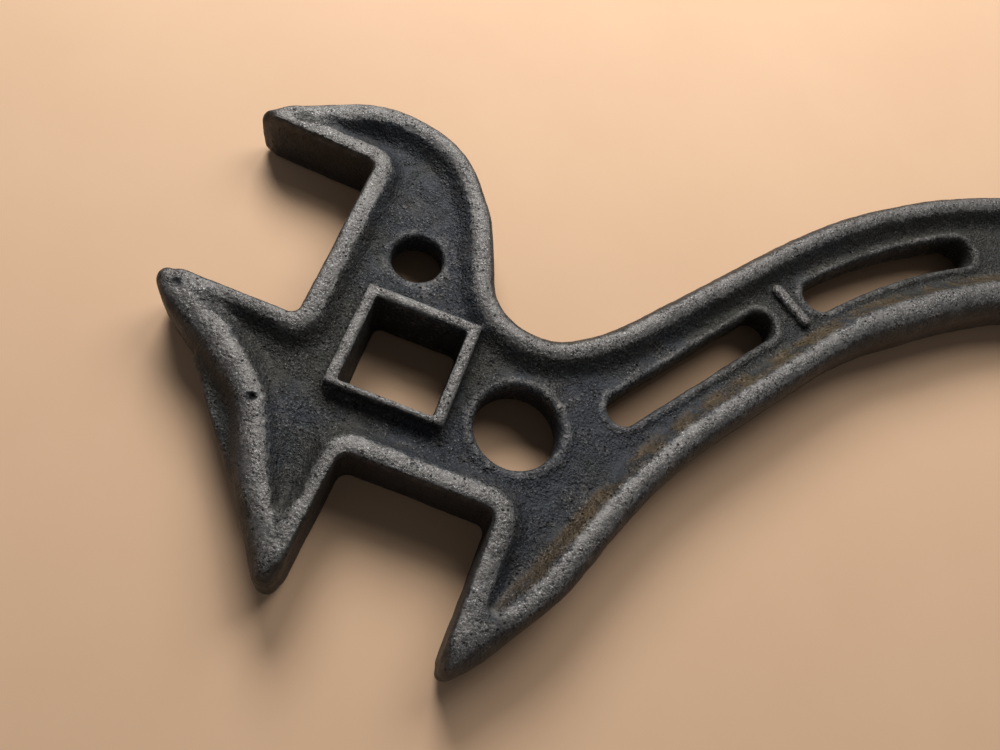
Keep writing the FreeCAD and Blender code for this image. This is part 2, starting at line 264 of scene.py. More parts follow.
def closed_mouths():
    """The outline with each jaw filled in, out to well beyond its tips."""
    pieces = {}
    for face, line in zip(faces, jaw_lines):
        forward = (face[1] - face[0]) % len(outline) == 1
        ends = [line[0], line[-1]] if forward else [line[-1], line[0]]
        entry = face[0] if forward else face[-1]
        pieces[int(entry)] = (len(face), ends)
    points = []
    number = int((max(faces[0].max(), faces[1].max()) + 1) % len(outline))
    left = len(outline)
    while left > 0:
        points.append(outline[number])
        if number in pieces:
            size, ends = pieces[number]
            points.extend(ends)
            number = (number + size - 1) % len(outline)
            left -= size - 1
            points.append(outline[number])
        number = (number + 1) % len(outline)
        left -= 1
    return np.array(points)


filled = plan_distance(closed_mouths())
jaw_wall = np.minimum(*[plan_distance(line, closed=False) for line in jaw_lines])
jaw_wall = np.where((filled < 0) & (outside > 0), jaw_wall, -jaw_wall)

# Bull-nose radius of the outer sides: wide rims are rounder, the hook's back is crisper.
RIM_FLAT = 1.2
SIDE_RADIUS_LIMITS = (1.6, 4.8)
HOOK_Y, HOOK_MINUS_X = (18.0, 30.0), (-25.0, -8.0)
HOOK_SIDE_RADIUS = 2.4
rim_width = np.maximum(-outside, 0) + np.maximum(recess_wall, 0)
side_radius = np.clip(rim_width - RIM_FLAT, *SIDE_RADIUS_LIMITS)
under_radius = side_radius.copy()
hook_share = smooth_step(PLAN_Y, *HOOK_Y) * smooth_step(-PLAN_X, *HOOK_MINUS_X)
side_radius += (HOOK_SIDE_RADIUS - side_radius) * hook_share


def near_tip(tip, start, end):
    """One at an outline tip, fading to nought between two distances from it."""
    gap = np.hypot(PLAN_X - outline[tip][0], PLAN_Y - outline[tip][1])
    return 1 - smooth_step(gap, start, end)


# Tip, radius there, and the distances from the tip where the radius starts and ends to fade.
TOP_RADII = ((hook_tip, 1.7, 10.0, 18.0), (hook_tip, 4.6, 0.5, 7.0), (upper_fin, 2.8, 4.0, 13.0))
UNDER_RADII = ((upper_fin, 3.2, 4.0, 13.0), (hook_tip, 2.2, 6.0, 16.0),
               (lower_fin, 2.8, 5.0, 12.0), (prong_tip, 2.6, 5.0, 12.0))
for radii, changes in ((side_radius, TOP_RADII), (under_radius, UNDER_RADII)):
    for tip, radius, start, end in changes:
        radii += (radius - radii) * near_tip(tip, start, end)

# The ridges along the jaw sides of both fins are narrower than the other rims.
RIDGE_NARROWING = 1.0
# Distances from a jaw's face between which the narrowing sets in.
LOWER_RIDGE_EDGE, UPPER_RIDGE_EDGE = (8.5, 6.0), (8.0, 5.5)
# Lengths along the face, about the jaw's floor, between which the narrowing sets in.
LOWER_RIDGE_END, UPPER_RIDGE_END = (3.0, 0.0), (1.0, -3.0)
lower_face, lower_floor = lower_jaw[0, 0], lower_jaw[1, 1]
upper_face, upper_floor = upper_jaw[0, 1], upper_jaw[1, 0]
lower_fin_ridge = (smooth_step(PLAN_X, *[lower_face - gap for gap in LOWER_RIDGE_EDGE])
                   * smooth_step(-PLAN_Y, *[-lower_floor - gap for gap in LOWER_RIDGE_END])
                   * (PLAN_X < lower_face))
upper_fin_ridge = (smooth_step(-PLAN_X, *[-upper_floor - gap for gap in UPPER_RIDGE_END])
                   * smooth_step(PLAN_Y, *[upper_face - gap for gap in UPPER_RIDGE_EDGE])
                   * (PLAN_Y < upper_face))
recess_wall = recess_wall - RIDGE_NARROWING * np.maximum(lower_fin_ridge, upper_fin_ridge)

# ------------------------------------------------------------- sunk web
WEB_HALF = 3.0
# Distances inside the recess wall where the slope down to the web starts and ends.
SLOPE_START = -1.5
SLOPE_END = 3.2
WEB_BLUR = 0.9
# Rounds of averaging for a blur of one grid step; they grow with its square.
BLUR_ROUNDS = 1.8
# Grooves that carry the recess on towards each tip.
GROOVE_DEPTH = 0.85
GROOVE_RADIUS = 3.2
GROOVE_START = -2.2
GROOVE_END_WIDTH, GROOVE_WIDENING = 0.55, 0.45
GROOVES = ((hook_tip, 0.5), (upper_fin, 0.6), (lower_fin, 0.45), (prong_tip, 0.5))
web_depth = smooth_step(-recess_wall, SLOPE_START, SLOPE_END)


def blurred(values, reach):
    """Values over the plan grid, averaged over about the given distance in mm."""
    for _ in range(max(int(round(BLUR_ROUNDS * (reach / PITCH) ** 2)), 1)):
        values = (values + np.roll(values, 1, 0) + np.roll(values, -1, 0)
                  + np.roll(values, 1, 1) + np.roll(values, -1, 1)) / 5
    return values


def run_out(tip, share):
    """Depth of the shallow groove that covers a share of the way from recess to tip."""
    target = outline[tip]
    gap = np.hypot(PLAN_X - target[0], PLAN_Y - target[1])
    nearest = np.argmin(np.where(recess_wall < GROOVE_START, gap, np.inf))
    inner = np.array([PLAN_X.flat[nearest], PLAN_Y.flat[nearest]])
    run = (target - inner) * share
    along = ((PLAN_X - inner[0]) * run[0] + (PLAN_Y - inner[1]) * run[1]) / (run @ run)
    held = along.clip(0, 1)
    off = np.hypot(PLAN_X - inner[0] - held * run[0], PLAN_Y - inner[1] - held * run[1])
    fade = 1 - smooth_step(held, 0.0, 1.0)
    width = GROOVE_RADIUS * (GROOVE_END_WIDTH + GROOVE_WIDENING * fade)
    return GROOVE_DEPTH * fade * (1 - smooth_step(off, 0.0, width))


for tip, share in GROOVES:
    web_depth = np.maximum(web_depth, run_out(tip, share))
web_depth = blurred(web_depth, WEB_BLUR)
# Over the rims this surface is clear of the slab faces, so that the two do not blend there.
RIM_CLEARANCE = 0.6
top_height = HALF + RIM_CLEARANCE - (HALF + RIM_CLEARANCE - WEB_HALF) * web_depth
slope_x, slope_y = np.gradient(top_height, PITCH)
steepness = np.sqrt(1 + slope_x ** 2 + slope_y ** 2)

# ------------------------------------------------------------- distance field
# Every BLEND or EDGE is the width over which two surfaces run into each other.
WEB_BLEND = 1.2
COLLAR_HALF = HALF - 0.4
COLLAR_ROUND = 0.5
COLLAR_BLEND = 1.6
# Lips are round beads set back from the opening and sunk below the web's surface.
LIP_RADIUS = 1.2
LIP_SET_BACK = 1.0
LIP_SINK = 0.75
LIP_BLEND = 1.4
SLOT_LIP_RADIUS = 0.8
SLOT_LIP_SET_BACK = 0.9
SLOT_LIP_SINK = 0.35
SLOT_LIP_BLEND = 1.2
BAR_RISE = 1.5
BAR_WIDENING = 0.45
BAR_ROUND = 0.6
BAR_BLEND = 0.8
# Blow holes in the top of the rims: x, y, radius, and depth of the middle below the top.
BLOW_HOLES = ((-41.6, -3.0, 0.75, -0.05), (-20.6, -17.6, 0.65, 0.4))
BLOW_HOLE_EDGE = 0.3
GATE_HALF = 2.6
GATE_ROUND = 0.6
GATE_BLEND = 2.6
JAW_EDGE = 1.3
HOLE_EDGE = 1.2
SOCKET_EDGE = 0.7
# The socket narrows, and its corners grow rounder, from the top to the bottom.
SOCKET_NARROWING = 0.65
SOCKET_CORNER_TOP = 0.4
SOCKET_CORNER_GROWTH = 1.2
socket_half_top = np.ptp(socket[:, 0]) / 2
top_level = high.z / MM


def casting_level(z):
    """Distance field of the casting over one level of the grid."""
    height = abs(z - MIDDLE)
    body = rounded_slab(filled, height - HALF, side_radius if z > MIDDLE else under_radius)
    body = smooth_max(body, (height - top_height) / steepness, WEB_BLEND)
    body = smooth_max(body, jaw_wall, JAW_EDGE)
    ring = rounded_slab(collar_wall, height - COLLAR_HALF, COLLAR_ROUND)
    body = smooth_min(body, ring, COLLAR_BLEND)
    lip = np.hypot(hole_plan - hole_radius - LIP_SET_BACK, height - WEB_HALF + LIP_SINK)
    body = smooth_min(body, lip - LIP_RADIUS, LIP_BLEND)
    lip = np.hypot(slot_walls - SLOT_LIP_SET_BACK, height - WEB_HALF + SLOT_LIP_SINK)
    body = smooth_min(body, lip - SLOT_LIP_RADIUS, SLOT_LIP_BLEND)
    if z > MIDDLE:
        raised = rounded_slab(bar_wall - BAR_WIDENING, z - MIDDLE - WEB_HALF - BAR_RISE, BAR_ROUND)
        body = smooth_min(body, raised, BAR_BLEND)
        for x, y, radius, depth in BLOW_HOLES:
            below = min(z - MIDDLE - HALF + depth, 0)
            hollow = np.hypot(np.hypot(PLAN_X - x, PLAN_Y - y), below) - radius
            body = smooth_max(body, -hollow, BLOW_HOLE_EDGE)
    scar = rounded_slab(gate_wall, abs(z - GATE_HEIGHT) - GATE_HALF, GATE_ROUND)
    body = body + (smooth_min(body, scar, GATE_BLEND) - body) * gate_share
    for wall in opening_walls:
        body = smooth_max(body, -wall, HOLE_EDGE)
    drop = (top_level - z) / THICKNESS
    half = socket_half_top - SOCKET_NARROWING * drop
    corner = SOCKET_CORNER_TOP + SOCKET_CORNER_GROWTH * drop
    square = rounded_slab(np.abs(PLAN_X) - half, np.abs(PLAN_Y) - half, corner)
    return smooth_max(body, -square, SOCKET_EDGE)


field = np.stack([casting_level(z) for z in grid_z], axis=2).astype(np.float32)


# ------------------------------------------------------------- surface of the field
CORNERS = [(i, j, k) for i in (0, 1) for j in (0, 1) for k in (0, 1)]
# Grid steps to either side over which the slope is measured, and the least slope, squared.
SLOPE_REACH = 0.6
LEAST_SLOPE = 0.05


def sample(values, points):
    """Values of a grid at points given in grid steps, blended linearly."""
    limit = np.array(values.shape) - 2
    base = np.clip(np.floor(points).astype(int), 0, limit)
    part = np.clip(points - base, 0, 1)
    total = np.zeros(len(points))
    for corner in CORNERS:
        weight = np.prod(np.where(corner, part, 1 - part), axis=1)
        place = base + corner
        total += weight * values[place[:, 0], place[:, 1], place[:, 2]]
    return total


def surface_net(values):
    """Vertices, in grid steps, and outward quads of the zero surface."""
    solid = values < 0
    count = sum(solid[i:i - 1 or None, j:j - 1 or None, k:k - 1 or None].astype(np.int8)
                for i, j, k in CORNERS)
    active = (count > 0) & (count < 8)
    cells = np.argwhere(active)
    number = np.full(active.shape, -1)
    number[active] = np.arange(len(cells))
    place = np.zeros((len(cells), 3))
    hits = np.zeros(len(cells))
    for axis in range(3):
        step = np.eye(3, dtype=int)[axis]
        for corner in CORNERS:
            if corner[axis]:
                continue
            near = cells + corner
            far = near + step
            a = values[near[:, 0], near[:, 1], near[:, 2]]
            b = values[far[:, 0], far[:, 1], far[:, 2]]
            crossed = (a < 0) != (b < 0)
            part = a[crossed] / (a[crossed] - b[crossed])
            place[crossed] += near[crossed] + part[:, None] * step
            hits[crossed] += 1
    place /= hits[:, None]
    quads = []
    for axis in range(3):
        side, other = (axis + 1) % 3, (axis + 2) % 3
        first = np.moveaxis(solid, axis, 0)[:-1]
        second = np.moveaxis(solid, axis, 0)[1:]
        change = np.moveaxis(first != second, 0, axis)
        edges = np.argwhere(change)
        outward = solid[edges[:, 0], edges[:, 1], edges[:, 2]]
        ring = []
        for back_side, back_other in ((1, 1), (0, 1), (0, 0), (1, 0)):
            cell = edges.copy()
            cell[:, side] -= back_side
            cell[:, other] -= back_other
            ring.append(number[cell[:, 0], cell[:, 1], cell[:, 2]])
        ring = np.stack(ring, axis=1)
        ring[~outward] = ring[~outward][:, ::-1]
        quads.append(ring)
    return place, np.concatenate(quads)


def gradient(points):
    """Slope of the field at points given in grid steps."""
    slopes = []
    for axis in range(3):
        step = np.eye(3)[axis] * SLOPE_REACH
        rise = sample(field, points + step) - sample(field, points - step)
        slopes.append(rise / (2 * SLOPE_REACH))
    return np.stack(slopes, axis=1)


def settle(points, rounds):
    """Move points onto the zero surface along the slope."""
    for _ in range(rounds):
        slope = gradient(points)
        size = np.maximum((slope * slope).sum(1), LEAST_SLOPE * PITCH * PITCH)
        points = points - slope * (sample(field, points) / size)[:, None]
    return points


def neighbour_pairs(faces):
    """Every pair of vertices that share an edge, once."""
    corners = faces.shape[1]
    pairs = np.concatenate([faces[:, [i, (i + 1) % corners]] for i in range(corners)])
    return np.unique(np.sort(pairs, axis=1), axis=0)


def neighbour_mean(values, pairs):
    """Mean of each vertex's neighbours, one column at a time."""
    size = len(values)
    first, second = pairs[:, 0], pairs[:, 1]
    shared = np.bincount(first, minlength=size) + np.bincount(second, minlength=size)
    columns = []
    for column in values.T:
        total = np.bincount(first, column[second], size) + np.bincount(second, column[first], size)
        columns.append(total / np.maximum(shared, 1))
    return np.stack(columns, axis=1)


def smoothed(values, pairs, rounds, share=0.5):
    """Values moved a share of the way to their neighbours' mean, a number of times."""
    for _ in range(rounds):
        values = values + share * (neighbour_mean(values, pairs) - values)
    return values


steps, quads = surface_net(field)
pairs = neighbour_pairs(quads)
steps = settle(smoothed(steps, pairs, 2), 2)
steps = settle(smoothed(steps, pairs, 1), 1)
grid_start = np.array([grid_x[0], grid_y[0], grid_z[0]])


# ------------------------------------------------------------- roughness of the sand mould
# Depth and size of each layer of unevenness, then the small pits.
RELIEF = ((0.10, 7.0), (0.06, 2.6), (0.045, 1.2))
PIT_SIZE, PIT_DEPTH, PIT_LEVEL = 1.0, 0.12, 0.45


def value_noise(points, size, seed):
    """Smooth noise from -1 to 1 with features of the given size in mm."""
    random = np.random.default_rng(seed)
    lowest = points.min(0) - size
    scaled = (points - lowest) / size
    shape = np.ceil(scaled.max(0)).astype(int) + 2
    lattice = random.uniform(-1, 1, shape)
    base = np.floor(scaled)
    part = scaled - base
    return sample(lattice, base + part * part * (3 - 2 * part))


points = grid_start + steps * PITCH
normals = gradient(steps)
normals /= np.maximum(np.linalg.norm(normals, axis=1), 1e-9)[:, None]
relief = np.zeros(len(points))
for number, (depth, size) in enumerate(RELIEF):
    relief += depth * value_noise(points, size, SEED + number)
pits = value_noise(points, PIT_SIZE, SEED + len(RELIEF))
relief -= PIT_DEPTH * np.clip(pits - PIT_LEVEL, 0, 1)
points += normals * relief[:, None]


# ------------------------------------------------------------- mesh
def build_mesh(name, places, faces):
    """Mesh with the given vertices, in mm, and faces of one number of corners."""
    mesh = bpy.data.meshes.new(name)
    mesh.vertices.add(len(places))
    mesh.vertices.foreach_set("co", (places * MM).astype(np.float32).ravel())
    mesh.loops.add(faces.size)
    mesh.loops.foreach_set("vertex_index", faces.astype(np.int32).ravel())
    mesh.polygons.add(len(faces))
    starts = np.arange(0, faces.size, faces.shape[1], dtype=np.int32)
    mesh.polygons.foreach_set("loop_start", starts)
    mesh.update(calc_edges=True)
    mesh.validate()
    return mesh


def split_quads(faces):
    """Two triangles for every quad."""
    return np.concatenate([faces[:, [0, 1, 2]], faces[:, [0, 2, 3]]])


whole = build_mesh("hydrant_wrench", points, split_quads(quads))
piece = bpy.data.objects.new("hydrant_wrench", whole)
bpy.context.scene.collection.objects.link(piece)
if len(piece.data.polygons) > TRIANGLES:
    thin = piece.modifiers.new("thin", "DECIMATE")
    thin.ratio = TRIANGLES / len(piece.data.polygons)
    bpy.context.view_layer.update()
    ready = piece.evaluated_get(bpy.context.evaluated_depsgraph_get())
    lighter = bpy.data.meshes.new_from_object(ready)
    piece.modifiers.clear()
    piece.data = lighter
    lighter.name = "hydrant_wrench"
mesh = piece.data
mesh.polygons.foreach_set("use_smooth", np.ones(len(mesh.polygons), bool))
mesh.update()


# ------------------------------------------------------------- wear, dirt, painted shade and reflection of each vertex
# Pairs are the values between which a share grows from nought to one, lengths in mm.
BULGE_ROUNDS, BULGE_BLUR, BULGE_SPREAD = 24, 2, 0.6
FACING_BLUR = 6
CREST_HEIGHT, CREST_LEVEL = (3.8, 4.6), (0.74, 0.97)
FOOT_START, FOOT_END, FOOT_X = (0.15, 0.45), (0.8, 1.05), (20.0, 40.0)
RUST_X, RUST_Y, RUST_FACING = -0.6, 0.8, (0.05, 0.4)
BAR_REACH, BAR_HEIGHT, BAR_WEAR = (0.1, 0.9), (WEB_HALF + 0.5, WEB_HALF + 1.2), 1.5
SIDE_LEVEL, SIDE_REACH = (0.5, 0.86), (-2.6, -1.6)
COLLAR_REACH, COLLAR_LEVEL = (-0.1, 0.4), (0.55, 0.85)
COLLAR_HEIGHT = (COLLAR_HALF - 1.2, COLLAR_HALF - 0.5)
# Steps out along the normal, and the weight of each, that measure shelter, by which the finish
# paints shade.
SHELTER_STEPS = ((0.8, 1.0), (1.8, 0.9), (3.5, 0.8), (6.0, 0.6))

count = len(mesh.vertices)
places = np.empty(count * 3, np.float32)
mesh.vertices.foreach_get("co", places)
places = places.reshape(-1, 3).astype(float) / MM
facing = np.empty(count * 3, np.float32)
mesh.vertex_normals.foreach_get("vector", facing)
facing = facing.reshape(-1, 3).astype(float)
edge_pairs = np.empty(len(mesh.edges) * 2, np.int32)
mesh.edges.foreach_get("vertices", edge_pairs)
edge_pairs = edge_pairs.reshape(-1, 2)


def bulge(rounds):
    """How far each vertex stands above its smoothed neighbourhood, in mm."""
    flattened = smoothed(places, edge_pairs, rounds)
    return ((places - flattened) * facing).sum(1)


def shelter():
    """Share of the open air that nearby metal takes, by steps along the normal."""
    taken = np.zeros(count)
    total = 0.0
    for step, weight in SHELTER_STEPS:
        reach = (places + facing * step - grid_start) / PITCH
        open_air = np.clip(sample(field, reach), 0, step)
        taken += weight * (step - open_air) / step
        total += weight
    return taken / total


def on_plan(values):
    """Values of a plan grid at each vertex."""
    plan_steps = (places[:, :2] - start_xy) / PITCH
    return sample(np.repeat(values[:, :, None], 2, axis=2),
                  np.column_stack([plan_steps, np.zeros(count)]))


above = places[:, 2] - MIDDLE
ridge = smoothed(bulge(BULGE_ROUNDS)[:, None], edge_pairs, BULGE_BLUR)[:, 0]
broad_facing = np.abs(smoothed(facing, edge_pairs, FACING_BLUR)[:, 2])
# The outer sides, which the finish paints darker and browner as shade and a reflection of the warm
# floor.
side = (1 - smooth_step(broad_facing, *SIDE_LEVEL)) * smooth_step(on_plan(outside), *SIDE_REACH)

# The tops of the rims, the collar and the bar are rubbed bright.
crest = smooth_step(np.abs(above), *CREST_HEIGHT) * smooth_step(broad_facing, *CREST_LEVEL)
on_collar = 1 - smooth_step(on_plan(collar_wall), *COLLAR_REACH)
on_collar *= smooth_step(facing[:, 2], *COLLAR_LEVEL)
on_collar *= smooth_step(above, *COLLAR_HEIGHT)
on_bar = 1 - smooth_step(on_plan(bar_wall), *BAR_REACH)
crest = np.maximum(crest, on_collar)
crest = np.maximum(crest, BAR_WEAR * on_bar * smooth_step(above, *BAR_HEIGHT))

# Rust holds on in the slopes that rise to the lower side of the handle and the prong.
depth_here = on_plan(web_depth)
foot = smooth_step(depth_here, *FOOT_START) * (1 - smooth_step(depth_here, *FOOT_END))
rust_side = smooth_step(facing[:, 0] * RUST_X + facing[:, 1] * RUST_Y, *RUST_FACING)
foot = foot * rust_side * smooth_step(places[:, 0], *FOOT_X)

store = {"side": side, "ridge": np.clip(0.5 + ridge / BULGE_SPREAD, 0, 1),
         "shelter": np.clip(shelter(), 0, 1), "crest": crest, "foot": foot}
for name, values in store.items():
    layer = mesh.attributes.new(name, "FLOAT", "POINT")
    layer.data.foreach_set("value", values.astype(np.float32))

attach(piece, "root")
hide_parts("wrench_casting")


# ------------------------------------------------------------- cast iron finish
def linear(red, green, blue):
    """Linear colour of an sRGB colour given from 0 to 255."""
    parts = [v / 255 for v in (red, green, blue)]
    return tuple(v / 12.92 if v < 0.04045 else ((v + 0.055) / 1.055) ** 2.4 for v in parts) + (1.0,)


class Nodes:
    """Short calls for building one material's node tree."""

    def __init__(self, name):
        self.material = bpy.data.materials.new(name)
        self.material.use_nodes = True
        self.tree = self.material.node_tree
        self.shader = self.tree.nodes["Principled BSDF"]

    def link(self, source, target):
        self.tree.links.new(source, target)

    def feed(self, target, value):
        if isinstance(value, bpy.types.NodeSocket):
            self.link(value, target)
        else:
            target.default_value = value

    def add(self, kind, **settings):
        node = self.tree.nodes.new(kind)
        for key, value in settings.items():
            setattr(node, key, value)
        return node

    def place(self):
        """Object coordinates in millimetres."""
        coordinates = self.add("ShaderNodeTexCoord")
        scale = self.add("ShaderNodeVectorMath", operation="SCALE")
        self.link(coordinates.outputs["Object"], scale.inputs[0])
        scale.inputs["Scale"].default_value = 1 / MM
        return scale.outputs[0]

    def noise(self, place, size, detail=2.0, roughness=0.5):
        node = self.add("ShaderNodeTexNoise")
        self.link(place, node.inputs["Vector"])
        node.inputs["Scale"].default_value = 1 / size
        node.inputs["Detail"].default_value = detail
        node.inputs["Roughness"].default_value = roughness
        return node.outputs["Fac"]

    def cells(self, place, size):
        node = self.add("ShaderNodeTexVoronoi")
        self.link(place, node.inputs["Vector"])
        node.inputs["Scale"].default_value = 1 / size
        return node.outputs["Distance"]

    def math(self, operation, a, b):
        node = self.add("ShaderNodeMath", operation=operation)
        self.feed(node.inputs[0], a)
        self.feed(node.inputs[1], b)
        return node.outputs[0]

    def times(self, a, b):
        return self.math("MULTIPLY", a, b)

    def plus(self, a, b):
        return self.math("ADD", a, b)

    def minus(self, a, b):
        return self.math("SUBTRACT", a, b)

    def swing(self, value, amount):
        """A noise value from 0 to 1 made into a change about nought."""
        return self.times(self.minus(value, 0.5), amount)

    def ramp(self, value, start, end, low_value=0.0, high_value=1.0):
        node = self.add("ShaderNodeMapRange", interpolation_type="SMOOTHSTEP")
        self.feed(node.inputs["Value"], value)
        node.inputs["From Min"].default_value = start
        node.inputs["From Max"].default_value = end
        node.inputs["To Min"].default_value = low_value
        node.inputs["To Max"].default_value = high_value
        return node.outputs["Result"]

    def mix(self, factor, a, b):
        node = self.add("ShaderNodeMix", data_type="RGBA")
        self.feed(node.inputs["Factor"], factor)
        self.feed(node.inputs[6], a)
        self.feed(node.inputs[7], b)
        return node.outputs[2]

    def attribute(self, name):
        return self.add("ShaderNodeAttribute", attribute_name=name).outputs["Fac"]


OXIDE_WARM = linear(53, 53, 50)
OXIDE_COOL = linear(52, 55, 60)
OXIDE_BROWN = linear(56, 51, 43)
RUST = linear(80, 64, 38)
# Dark colour of soot in pits and grains, also laid on as painted shade where the metal is
# sheltered.
SOOT_AND_SHADE = linear(24, 21, 19)
WORN_METAL = linear(102, 100, 98)
FLECK = linear(168, 168, 168)
# Painted shade and reflection of the warm floor on the outer sides.
SIDE_SHADE_AND_REFLECTION = linear(58, 51, 44)

# Sizes, in mm, of the noises that make up the finish.
BROAD, PATCH, MOTTLE, GRAIN, FINE = 20.0, 6.0, 1.5, 0.5, 0.32
PIT_PATCH, PIT_CELL, SPECKLE_PATCH = 3.0, 1.1, 4.0
# How far each noise and the relief of the part move the wear.
RUBBED_BASE, RUBBED_CREST, CREST_WEAR = 0.35, 0.4, 0.35
MOTTLE_WEAR, PATCH_WEAR, GRAIN_WEAR, PIT_WEAR = 1.1, 0.8, 1.4, 0.9
# Largest share of each colour that is laid over the one below it.
RUST_SHARE, SHELTER_SHADE, FLECK_SHARE, PIT_SOOT, SIDE_SHADE_SHARE = 0.75, 0.58, 0.8, 0.85, 0.45
GRAIN_SOOT, FINE_SOOT, BROWN_SHARE = 0.8, 0.45, 0.5
# Values between which a noise, a cell distance or an attribute grows from nought to one.
PIT_PATCHES, PIT_HOLLOWS, SPECKLE_PATCHES = (0.45, 0.6), (0.3, 0.1), (0.38, 0.58)
RIDGE_RANGE, SHELTER_RANGE, RUST_PATCHES = (0.46, 0.9), (0.3, 0.8), (0.36, 0.56)
COOL_PATCHES, BROWN_PATCHES = (0.4, 0.6), (0.5, 0.75)
FLECK_GRAINS, SOOT_GRAINS, FINE_SOOT_GRAINS = (0.58, 0.7), (0.49, 0.36), (0.44, 0.32)
# Strength of the speckle from its weakest to its strongest patch, and its loss on the sides.
SPECKLE_STRENGTH, SIDE_SPECKLE_LOSS = (0.45, 1.15), 0.7
FLECK_BASE, FLECK_WORN = 0.3, 0.7
# Depth of each noise in the bump, in mm.
GRAIN_BUMP, MOTTLE_BUMP, FINE_BUMP, PIT_BUMP = 0.4, 0.4, 0.14, 0.2
SPECKLE_BUMP_BASE, SPECKLE_BUMP, WORN_BUMP = 0.35, 0.65, 0.55
DULL, RUBBED = 0.58, 0.48
MOTTLE_ROUGHNESS, SHELTER_ROUGHNESS = 0.2, 0.18
METALLIC, SPECULAR, BUMP_STRENGTH = 0.65, 0.3, 0.9


def cast_iron():
    n = Nodes("cast_iron")
    place = n.place()
    broad = n.noise(place, BROAD, detail=3.0)
    patches = n.noise(place, PATCH, detail=4.0, roughness=0.6)
    mottle = n.noise(place, MOTTLE, detail=4.0, roughness=0.65)
    grain = n.noise(place, GRAIN, detail=3.0, roughness=0.7)
    fine = n.noise(place, FINE, detail=2.0, roughness=0.6)
    ridge = n.attribute("ridge")
    shelter = n.attribute("shelter")
    crest = n.attribute("crest")
    foot = n.attribute("foot")
    side = n.attribute("side")

    # Small pits come in patches, and the fine speckle is weaker on the sides.
    pit_gate = n.ramp(n.noise(place, PIT_PATCH, detail=2.0), *PIT_PATCHES)
    pits = n.times(n.ramp(n.cells(place, PIT_CELL), *PIT_HOLLOWS), pit_gate)
    speckle = n.noise(place, SPECKLE_PATCH, detail=3.0, roughness=0.6)
    speckle = n.ramp(speckle, *SPECKLE_PATCHES, *SPECKLE_STRENGTH)
    speckle = n.times(speckle, n.minus(1.0, n.times(side, SIDE_SPECKLE_LOSS)))

    # Wear: most on ridges and crests, broken up by every size of noise.
    worn = n.plus(RUBBED_BASE, n.times(crest, RUBBED_CREST))
    worn = n.times(n.ramp(ridge, *RIDGE_RANGE), worn)
    worn = n.plus(worn, n.times(crest, CREST_WEAR))
    worn = n.plus(worn, n.swing(mottle, MOTTLE_WEAR))
    worn = n.plus(worn, n.swing(patches, PATCH_WEAR))
    worn = n.plus(worn, n.swing(grain, n.times(speckle, GRAIN_WEAR)))
    worn = n.ramp(worn, 0.0, 1.0)
    worn = n.times(worn, n.minus(1.0, n.times(pits, PIT_WEAR)))

    # Oxide in the hollows, with rust at the foot of the slopes and painted shade where nearby metal
    # shelters the surface.
    oxide = n.mix(n.ramp(broad, *COOL_PATCHES), OXIDE_WARM, OXIDE_COOL)
    oxide = n.mix(n.ramp(patches, *BROWN_PATCHES, 0.0, BROWN_SHARE), oxide, OXIDE_BROWN)
    rust = n.times(foot, n.ramp(patches, *RUST_PATCHES))
    oxide = n.mix(n.times(rust, RUST_SHARE), oxide, RUST)
    # Painted shade: the colour is darkened where nearby metal takes much of the open air.
    oxide = n.mix(n.times(n.ramp(shelter, *SHELTER_RANGE), SHELTER_SHADE), oxide, SOOT_AND_SHADE)

    # Rubbed metal over the oxide, with bright flecks and dark pits, and the outer sides painted
    # darker and browner as shade and a reflection of the warm floor.
    colour = n.mix(worn, oxide, WORN_METAL)
    fleck = n.plus(FLECK_BASE, n.times(worn, FLECK_WORN))
    fleck = n.times(n.times(n.ramp(fine, *FLECK_GRAINS), fleck), speckle)
    colour = n.mix(n.times(fleck, FLECK_SHARE), colour, FLECK)
    colour = n.mix(n.times(pits, PIT_SOOT), colour, SOOT_AND_SHADE)
    dark = n.ramp(grain, *SOOT_GRAINS, 0.0, GRAIN_SOOT)
    colour = n.mix(n.times(dark, speckle), colour, SOOT_AND_SHADE)
    dark = n.ramp(fine, *FINE_SOOT_GRAINS, 0.0, FINE_SOOT)
    colour = n.mix(n.times(dark, speckle), colour, SOOT_AND_SHADE)
    # Painted shade and floor reflection: the outer sides are made darker and browner.
    colour = n.mix(n.times(side, SIDE_SHADE_SHARE), colour, SIDE_SHADE_AND_REFLECTION)
    n.link(colour, n.shader.inputs["Base Color"])

    n.shader.inputs["Metallic"].default_value = METALLIC
    n.shader.inputs["Specular IOR Level"].default_value = SPECULAR
    rough = n.plus(n.ramp(worn, 0.0, 1.0, DULL, RUBBED), n.swing(mottle, MOTTLE_ROUGHNESS))
    rough = n.plus(rough, n.times(shelter, SHELTER_ROUGHNESS))
    n.link(rough, n.shader.inputs["Roughness"])

    # The bump is weaker where the metal is worn.
    rugged = n.plus(SPECKLE_BUMP_BASE, n.times(speckle, SPECKLE_BUMP))
    rugged = n.times(n.ramp(worn, 0.0, 1.0, 1.0, WORN_BUMP), rugged)
    height = n.plus(n.times(grain, GRAIN_BUMP), n.times(mottle, MOTTLE_BUMP))
    height = n.plus(height, n.times(fine, FINE_BUMP))
    height = n.times(height, rugged)
    height = n.minus(height, n.times(pits, PIT_BUMP))
    bump = n.add("ShaderNodeBump")
    bump.inputs["Strength"].default_value = BUMP_STRENGTH
    bump.inputs["Distance"].default_value = MM
    n.link(height, bump.inputs["Height"])
    n.link(bump.outputs["Normal"], n.shader.inputs["Normal"])
    return n.material


mesh.materials.append(cast_iron())

